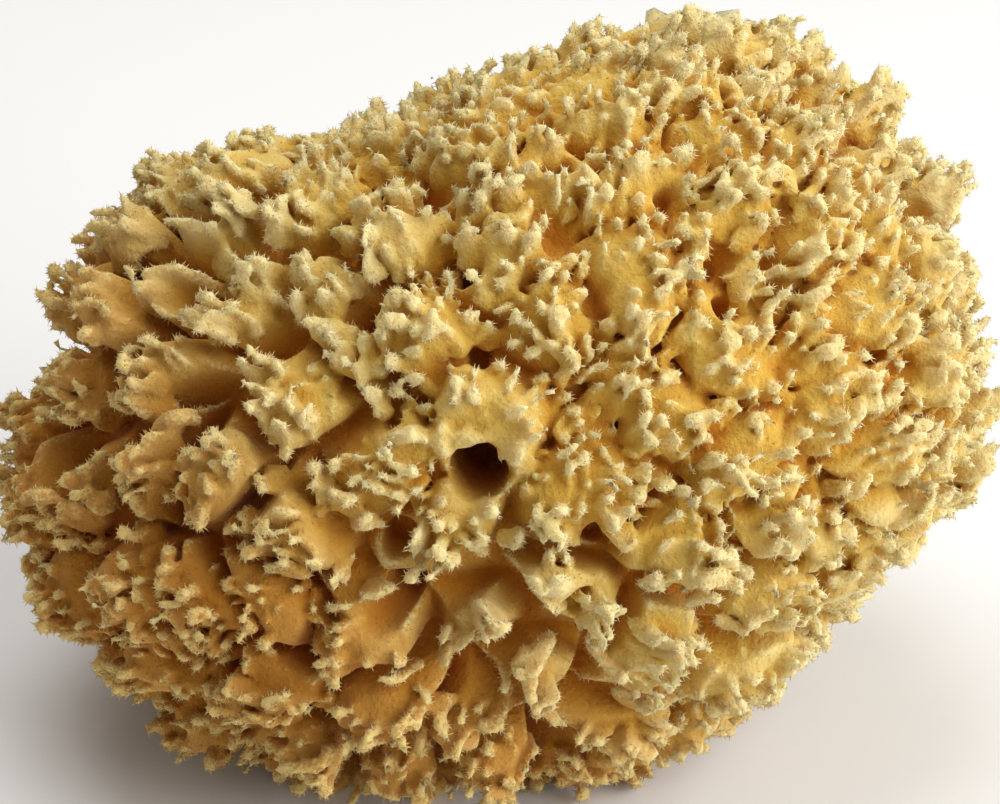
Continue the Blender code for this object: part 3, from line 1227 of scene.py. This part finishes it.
@dataclass(frozen=True)
class Finish:
    """A matt, slightly velvety finish from dark pits, in part painted shade, through gold to cream tips."""

    name: str
    # Painted shade in part: the later, darker stops fall on enclosed hollows, led by the tip and pit guides.
    stops: tuple[tuple[float, Colour], ...] = (
        (0.27, (0.69, 0.55, 0.24)),
        (0.36, (0.66, 0.48, 0.15)),
        (0.48, (0.64, 0.40, 0.065)),
        (0.62, (0.62, 0.31, 0.028)),
        (0.80, (0.58, 0.21, 0.010)),
    )
    cream: Colour = (0.76, 0.62, 0.31)
    cream_from: float = 0.60
    cream_to: float = 0.42
    # Painted shade: tints that darken the colours towards the lower left, as if that side were turned from
    # the key light.
    painted_shade_tint: Colour = (0.82, 0.62, 0.42)
    brown_cream: Colour = (0.90, 0.80, 0.60)
    painted_shade_way: tuple[float, float, float] = (1.0, 0.0, 1.2)
    painted_shade_from: float = 0.074
    painted_shade_to: float = 0.016
    mottle_scale: float = 1700.0
    mottle_detail: float = 5.0
    mottle_crest: float = 0.45
    mottle_depth: float = 0.12
    roughness: float = 0.85
    specular: float = 0.25
    sheen: float = 0.10
    wax: float = 0.50
    wax_radii: tuple[float, float, float] = (1.0, 0.70, 0.36)
    wax_depth: float = 0.0034
    grain: float = 1.0
    grain_scale: float = 1500.0
    grain_detail: float = 6.0
    grain_depth: float = 0.0006

    def material(self) -> bpy.types.Material:
        """Builds the material: its own values, its colour and its grain.

        Returns:
            The material.
        """
        made = bpy.data.materials.new(self.name)
        made.use_nodes = True
        tree = made.node_tree
        shader = tree.nodes["Principled BSDF"]
        shader.inputs["Roughness"].default_value = self.roughness
        shader.inputs["Sheen Weight"].default_value = self.sheen
        shader.inputs["Specular IOR Level"].default_value = self.specular
        shader.inputs["Subsurface Weight"].default_value = self.wax
        shader.inputs["Subsurface Radius"].default_value = self.wax_radii
        shader.inputs["Subsurface Scale"].default_value = self.wax_depth
        place = tree.nodes.new("ShaderNodeTexCoord").outputs["Object"]
        tree.links.new(self.colour(tree, place), shader.inputs["Base Color"])
        bump = tree.nodes.new("ShaderNodeBump")
        bump.inputs["Strength"].default_value = self.grain
        bump.inputs["Distance"].default_value = self.grain_depth
        tree.links.new(noise_node(tree, place, self.grain_scale, self.grain_detail), bump.inputs["Height"])
        tree.links.new(bump.outputs["Normal"], shader.inputs["Normal"])
        return made

    def colour(self, tree: bpy.types.NodeTree, place: bpy.types.NodeSocket) -> bpy.types.NodeSocket:
        """The colour, led by the three guides.

        The mean of the tip and pit guides, with a little mottling, runs through the stops, and the
        sharpest crests are cream. The stops darken the hollows with painted shade, over the sponge's own
        paler tips. Painted shade also darkens the colours towards the lower left, against the shade's
        way vector, and the cream the least.

        Args:
            tree: The material's nodes.
            place: The Object coordinates.

        Returns:
            The colour.
        """
        mottle = noise_node(tree, place, self.mottle_scale, self.mottle_detail)
        crest = math_node(tree, "MULTIPLY_ADD", mottle, self.mottle_crest, guide_node(tree, "crest"))
        depth = math_node(tree, "MULTIPLY_ADD", guide_node(tree, "pit"), 1.0, guide_node(tree, "tip"))
        depth = math_node(tree, "MULTIPLY_ADD", mottle, self.mottle_depth, depth)
        # Painted shade: the more enclosed a point, the darker amber its stop; the paler tips are the
        # sponge's own.
        ramp = tree.nodes.new("ShaderNodeValToRGB")
        tree.links.new(math_node(tree, "MULTIPLY", depth, 0.5), ramp.inputs["Fac"])
        spots = ramp.color_ramp.elements
        while len(spots) < len(self.stops):
            spots.new(1.0)
        for spot, (share, shade) in zip(spots, self.stops):
            spot.position = share
            spot.color = (*shade, 1.0)
        # Painted shade: the colours darken towards the lower left, the side turned from the key light.
        along = tree.nodes.new("ShaderNodeVectorMath")
        along.operation = "DOT_PRODUCT"
        along.inputs[1].default_value = self.painted_shade_way
        tree.links.new(place, along.inputs[0])
        lower = range_node(tree, along.outputs["Value"], self.painted_shade_from, self.painted_shade_to)
        sharp = range_node(tree, crest, self.cream_from, self.cream_to)
        colour = mix_node(tree, lower, ramp.outputs["Color"], self.painted_shade_tint, "MULTIPLY")
        colour = mix_node(tree, sharp, colour, self.cream)
        return mix_node(tree, lower, colour, self.brown_cream, "MULTIPLY")


@dataclass(frozen=True)
class PlainFinish:
    """A finish of one colour, for the floor."""

    name: str
    colour: Colour
    roughness: float

    def material(self) -> bpy.types.Material:
        """Builds the material.

        Returns:
            The material.
        """
        made = bpy.data.materials.new(self.name)
        made.use_nodes = True
        shader = made.node_tree.nodes["Principled BSDF"]
        shader.inputs["Base Color"].default_value = (*self.colour, 1.0)
        shader.inputs["Roughness"].default_value = self.roughness
        return made


def noise_node(
    tree: bpy.types.NodeTree, place: bpy.types.NodeSocket, scale: float, detail: float
) -> bpy.types.NodeSocket:
    """Adds a noise pattern.

    Args:
        tree: The material's nodes.
        place: The coordinates that the pattern lies on.
        scale: How many waves there are to the metre.
        detail: How many finer waves are added to it.

    Returns:
        The pattern, from 0 to 1.
    """
    node = tree.nodes.new("ShaderNodeTexNoise")
    node.inputs["Scale"].default_value = scale
    node.inputs["Detail"].default_value = detail
    tree.links.new(place, node.inputs["Vector"])
    return node.outputs["Fac"]


def guide_node(tree: bpy.types.NodeTree, name: str) -> bpy.types.NodeSocket:
    """Reads one of the mesh's own guides.

    Args:
        tree: The material's nodes.
        name: The guide's name.

    Returns:
        The guide's number.
    """
    node = tree.nodes.new("ShaderNodeAttribute")
    node.attribute_name = name
    return node.outputs["Fac"]


def math_node(
    tree: bpy.types.NodeTree,
    operation: str,
    first: bpy.types.NodeSocket,
    second: float,
    third: bpy.types.NodeSocket | None = None,
) -> bpy.types.NodeSocket:
    """Adds a sum.

    Args:
        tree: The material's nodes.
        operation: What is done with the inputs.
        first: The first input.
        second: The second input, a constant.
        third: The third input, where the operation has one.

    Returns:
        The result.
    """
    node = tree.nodes.new("ShaderNodeMath")
    node.operation = operation
    node.inputs[1].default_value = second
    tree.links.new(first, node.inputs[0])
    if third is not None:
        tree.links.new(third, node.inputs[2])
    return node.outputs[0]


def range_node(
    tree: bpy.types.NodeTree, value: bpy.types.NodeSocket, low: float, high: float
) -> bpy.types.NodeSocket:
    """Adds a smooth run from 0 to 1.

    Args:
        tree: The material's nodes.
        value: What is measured.
        low: The value that gives 0.
        high: The value that gives 1.

    Returns:
        The share of the way.
    """
    node = tree.nodes.new("ShaderNodeMapRange")
    node.interpolation_type = "SMOOTHSTEP"
    node.inputs["From Min"].default_value = low
    node.inputs["From Max"].default_value = high
    tree.links.new(value, node.inputs["Value"])
    return node.outputs["Result"]


def mix_node(
    tree: bpy.types.NodeTree,
    share: bpy.types.NodeSocket,
    first: bpy.types.NodeSocket,
    second: Colour,
    blend: str = "MIX",
) -> bpy.types.NodeSocket:
    """Adds a mix of a colour with a constant one.

    Args:
        tree: The material's nodes.
        share: How much of the constant colour there is.
        first: The colour that it is mixed with.
        second: The constant colour.
        blend: How the two are mixed.

    Returns:
        The mixed colour.
    """
    node = tree.nodes.new("ShaderNodeMix")
    node.data_type = "RGBA"
    node.blend_type = blend
    tree.links.new(share, node.inputs[0])
    tree.links.new(first, node.inputs[6])
    node.inputs[7].default_value = (*second, 1.0)
    return node.outputs[2]


@dataclass(frozen=True)
class Lamp:
    """A square soft light, turned to the sponge."""

    name: str
    place: tuple[float, float, float]
    size: float
    power: float

    def build(self, aim: Array) -> None:
        """Makes the light.

        Args:
            aim: The point that it is turned to.
        """
        data = bpy.data.lights.new(self.name, "AREA")
        data.size = self.size
        data.energy = self.power
        lamp = bpy.data.objects.new(self.name, data)
        bpy.context.scene.collection.objects.link(lamp)
        lamp.location = self.place
        lamp.rotation_mode = "QUATERNION"
        lamp.rotation_quaternion = look_along(aim - np.array(self.place))


@dataclass(frozen=True)
class Studio:
    """The plain pale floor, the soft lights and the camera at the photograph's angle."""

    lamps: tuple[Lamp, ...] = (
        Lamp("key", (1.00, -0.40, 0.66), 1.30, 24.0),
        Lamp("top", (-0.15, 0.20, 1.10), 0.70, 6.5),
    )
    sky: Colour = (1.0, 0.94, 0.84)
    sky_strength: float = 0.26
    floor_finish: PlainFinish = PlainFinish("pale_floor", (0.82, 0.82, 0.82), 0.9)
    floor_reach: float = 3.0
    elevation: float = math.radians(30.0)
    distance: float = 0.45
    frame_width: float = 0.1500
    aim_aside: float = -0.00045
    aim_up: float = 0.0006
    sensor: float = 36.0

    def build(self, centre: Array) -> None:
        """Makes the floor, the lights and the camera.

        Args:
            centre: The body's centre.
        """
        self.floor()
        self.lights(centre)
        self.camera(centre)

    def floor(self) -> None:
        """A wide near-white floor under the sponge."""
        corners = np.array(((-1.0, -1.0, 0.0), (1.0, -1.0, 0.0), (1.0, 1.0, 0.0), (-1.0, 1.0, 0.0)))
        floor = mesh_object("floor", self.floor_reach * corners, np.array(((0, 1, 2, 3),)))
        floor.data.materials.append(self.floor_finish.material())

    def lights(self, centre: Array) -> None:
        """A key from the right, a softer light from above and a warm pale sky.

        Args:
            centre: The point that the lights are turned to.
        """
        for lamp in self.lamps:
            lamp.build(centre)
        world = bpy.data.worlds.new("pale_sky")
        world.use_nodes = True
        world.node_tree.nodes["Background"].inputs["Color"].default_value = (*self.sky, 1.0)
        world.node_tree.nodes["Background"].inputs["Strength"].default_value = self.sky_strength
        bpy.context.scene.world = world
        bpy.context.scene.view_settings.view_transform = "Standard"

    def camera(self, centre: Array) -> None:
        """The camera, square to the face, with the sponge's length filling the frame.

        Args:
            centre: The body's centre, which stands near the middle of the frame.
        """
        data = bpy.data.cameras.new("camera")
        data.sensor_width = self.sensor
        data.lens = self.sensor * self.distance / self.frame_width
        camera = bpy.data.objects.new("camera", data)
        bpy.context.scene.collection.objects.link(camera)
        up = np.array((0.0, math.sin(self.elevation), math.cos(self.elevation)))
        back = np.array((0.0, -math.cos(self.elevation), math.sin(self.elevation)))
        aim = centre + np.array((self.aim_aside, 0.0, 0.0)) + self.aim_up * up
        camera.location = aim + self.distance * back
        camera.rotation_mode = "QUATERNION"
        camera.rotation_quaternion = look_along(-back)
        bpy.context.scene.camera = camera


def look_along(way: Array) -> tuple[float, float, float, float]:
    """The turn, as a quaternion, that points an object's -Z axis along a way and keeps its X level."""
    return tuple(Vector(way).to_track_quat("-Z", "Y"))


def main() -> None:
    """Builds the sponge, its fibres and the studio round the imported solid."""
    logging.basicConfig(level=logging.INFO, format="%(message)s")
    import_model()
    body = SpongeBody()
    pieces = body.build()
    sponge_finish = Finish("sponge_skin").material()
    fibre_finish = Finish("sponge_fibre", wax=0.0, grain=0.0).material()
    for number, piece in enumerate(pieces):
        piece.data.materials.append(sponge_finish)
        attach(piece, BODY)
        fuzz = Fuzz(most=BACK_FIBRES) if piece.name == BACK_PIECE else Fuzz()
        fringe = fuzz.build(f"fibres_{number + 1}", piece, FIBRE_SEED + number)
        fringe.data.materials.append(fibre_finish)
        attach(fringe, BODY)
        LOG.info("%s: %d faces, fibres: %d", piece.name, len(piece.data.polygons), len(fringe.data.polygons))
    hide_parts(NODE)
    low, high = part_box(NODE)
    height = body.outline.cut_height(body.lobes.candidates)
    Studio().build(np.array(((low[0] + high[0]) / 2.0, (low[1] + high[1]) / 2.0, -height)))


if __name__ == "__main__":
    main()
